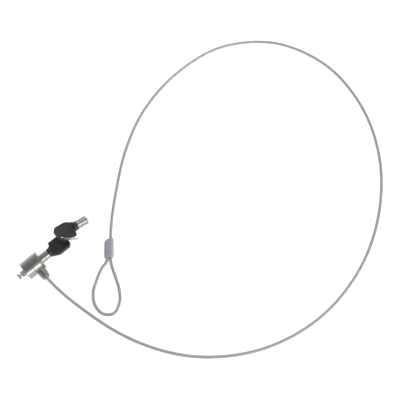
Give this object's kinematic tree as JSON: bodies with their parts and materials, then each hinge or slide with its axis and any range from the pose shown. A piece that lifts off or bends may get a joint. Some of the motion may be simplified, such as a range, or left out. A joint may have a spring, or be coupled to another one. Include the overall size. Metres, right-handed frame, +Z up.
{
  "type": "keyed security cable lock",
  "caption": "Round keyed lock head with a T-bar nose and swivel collar, a coated steel cable with a crimped eye, and two tubular keys on a wire ring.",
  "frame": {"origin": "on the surface the part lies on, under the middle of the head, keys and ring taken together", "axes": "+X along the head's axis from the T-bar to the keys, +Y away from the cable's gland, +Z up"},
  "size_m": [0.5019, 0.3748, 0.0238],
  "materials": {
    "body_metal": "satin nickel-plated, warm grey",
    "gland_metal": "satin, a shade darker than the body",
    "hardened_steel": "plain machined",
    "mechanism_brass": "machined",
    "pin_steel": "bright drawn",
    "washer_plastic": "slippery moulded, dark grey",
    "crimp_aluminium": "pressed",
    "boot_plastic": "smooth satin, lavender grey",
    "cable_jacket": "clear jacket over steel strands",
    "key_metal": "satin nickel-plated",
    "bow_plastic": "moulded, near black",
    "ring_wire": "bright"
  },
  "bodies": {
    "cable_side": {"swivel_collar": "body_metal", "swivel_washer": "washer_plastic", "cable_gland": "gland_metal", "cable_stop": "crimp_aluminium", "security_cable": "cable_jacket", "ferrule_sleeve": "crimp_aluminium", "ferrule_boot": "boot_plastic"},
    "lock_body": {"front_housing": "body_metal", "guard_pins": "hardened_steel", "chamber_dowel": "hardened_steel", "rear_cap": "body_metal", "pin_chamber": "mechanism_brass", "driver_pin_1": "pin_steel", "driver_pin_2": "pin_steel", "driver_pin_3": "pin_steel", "driver_pin_4": "pin_steel", "driver_pin_5": "pin_steel", "driver_pin_6": "pin_steel", "driver_pin_7": "pin_steel", "pin_spring_1": "pin_steel", "pin_spring_2": "pin_steel", "pin_spring_3": "pin_steel", "pin_spring_4": "pin_steel", "pin_spring_5": "pin_steel", "pin_spring_6": "pin_steel", "pin_spring_7": "pin_steel"},
    "core": {"core_plug": "mechanism_brass", "t_bar": "hardened_steel", "key_pin_1": "mechanism_brass", "key_pin_2": "mechanism_brass", "key_pin_3": "mechanism_brass", "key_pin_4": "mechanism_brass", "key_pin_5": "mechanism_brass", "key_pin_6": "mechanism_brass", "key_pin_7": "mechanism_brass"},
    "key_1": {"key_1_barrel": "key_metal", "key_1_bow": "bow_plastic"},
    "ring": {"key_ring": "ring_wire"},
    "key_2": {"key_2_barrel": "key_metal", "key_2_bow": "bow_plastic"}
  },
  "joints": [
    {"name": "lock_swivel", "type": "hinge", "parent": "cable_side", "child": "lock_body", "pos_m": [-0.044, 0.0025, 0.0119], "axis": [1, 0, 0], "continuous": true},
    {"name": "core_turn", "type": "hinge", "parent": "lock_body", "child": "core", "pos_m": [-0.044, 0.0025, 0.0119], "axis": [1, 0, 0], "range_deg": [0, 90]},
    {"name": "key_1_slide", "type": "slide", "parent": "core", "child": "key_1", "axis": [1, 0, 0], "range_m": [0, 0.012]},
    {"name": "ring_swing", "type": "hinge", "parent": "key_1", "child": "ring", "pos_m": [0.01374, 0.00712, 0.01115], "axis": [0, 0, 1], "range_deg": [0, 45]},
    {"name": "key_2_hang", "type": "hinge", "parent": "ring", "child": "key_2", "pos_m": [0.0209, 0, 0.0126], "axis": [-0.6494, -0.7087, -0.2756], "range_deg": [-60, 10]}
  ]
}
